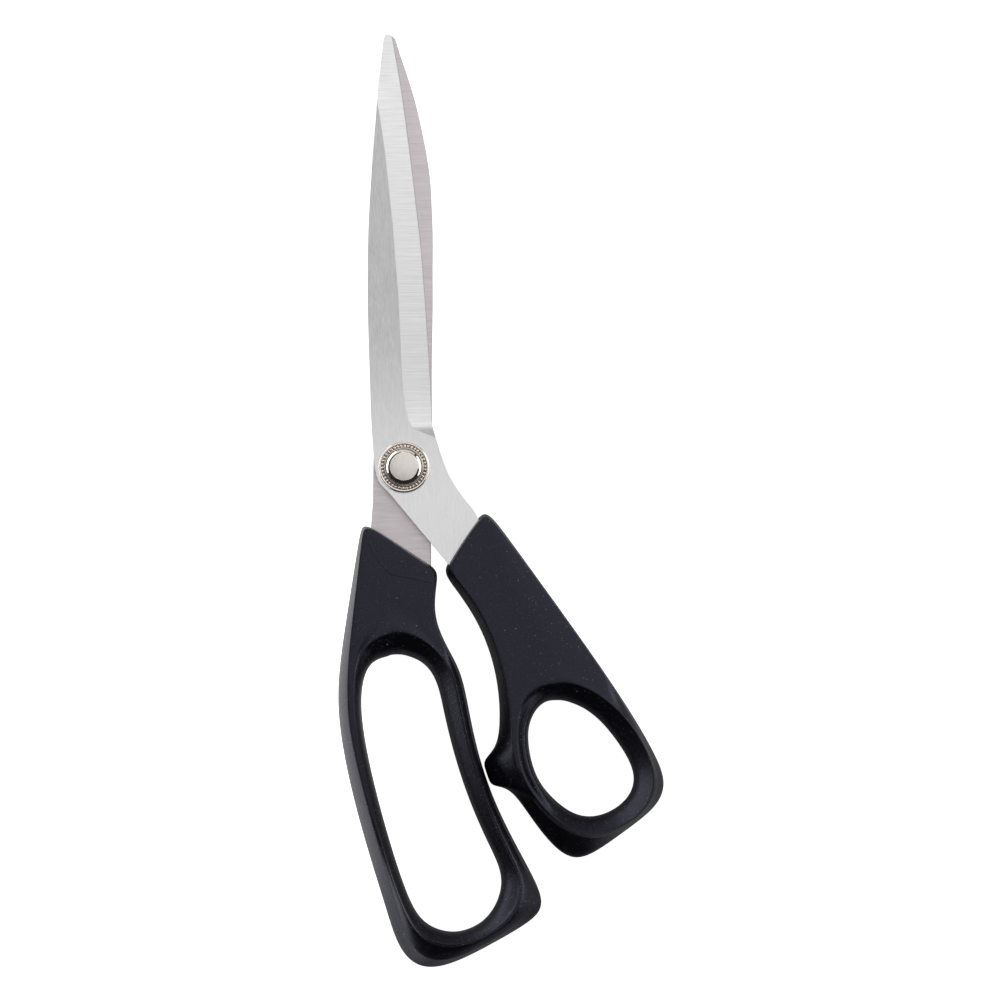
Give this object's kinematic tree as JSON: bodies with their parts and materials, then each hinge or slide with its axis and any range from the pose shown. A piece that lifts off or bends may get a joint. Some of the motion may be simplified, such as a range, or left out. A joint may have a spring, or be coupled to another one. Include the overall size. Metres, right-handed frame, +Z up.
{
  "type": "fabric shears",
  "caption": "Dressmaker's shears lying flat and closed: two ground steel blades on a beaded pivot bolt, with bent black moulded finger and thumb handles.",
  "frame": {"origin": "on the pivot axis, at the end of the bolt, in the plane that the shears lie on", "axes": "+Z up along the pivot axis, +Y from the pivot to the tips, +X towards the thumb handle's side"},
  "size_m": [0.088, 0.255, 0.011],
  "materials": {
    "blade_steel": "satin, fine lengthwise grain",
    "black_plastic": "finely grained satin",
    "nickel_plate": "polished nickel",
    "bush_bronze": "turned",
    "spring_steel": "dull",
    "nylon": "matt"
  },
  "bodies": {
    "lower_half": {"lower_blade": "blade_steel", "finger_handle": "black_plastic", "pivot_bush": "bush_bronze", "spring_washer": "spring_steel", "thrust_washer": "nylon"},
    "upper_half": {"upper_blade": "blade_steel", "thumb_handle": "black_plastic", "pivot_bolt": "nickel_plate", "rosette": "nickel_plate", "nylon_shim": "nylon"},
    "nut": {"tension_nut": "nickel_plate"}
  },
  "joints": [
    {"name": "blade_pivot", "type": "hinge", "parent": "lower_half", "child": "upper_half", "pos_m": [0, 0, 0.005], "axis": [0, 0, 1], "range_deg": [0, 90]},
    {"name": "nut_turn", "type": "hinge", "parent": "upper_half", "child": "nut", "pos_m": [0, 0, 0.00085], "axis": [0, 0, 1], "range_deg": [-60, 60]}
  ]
}
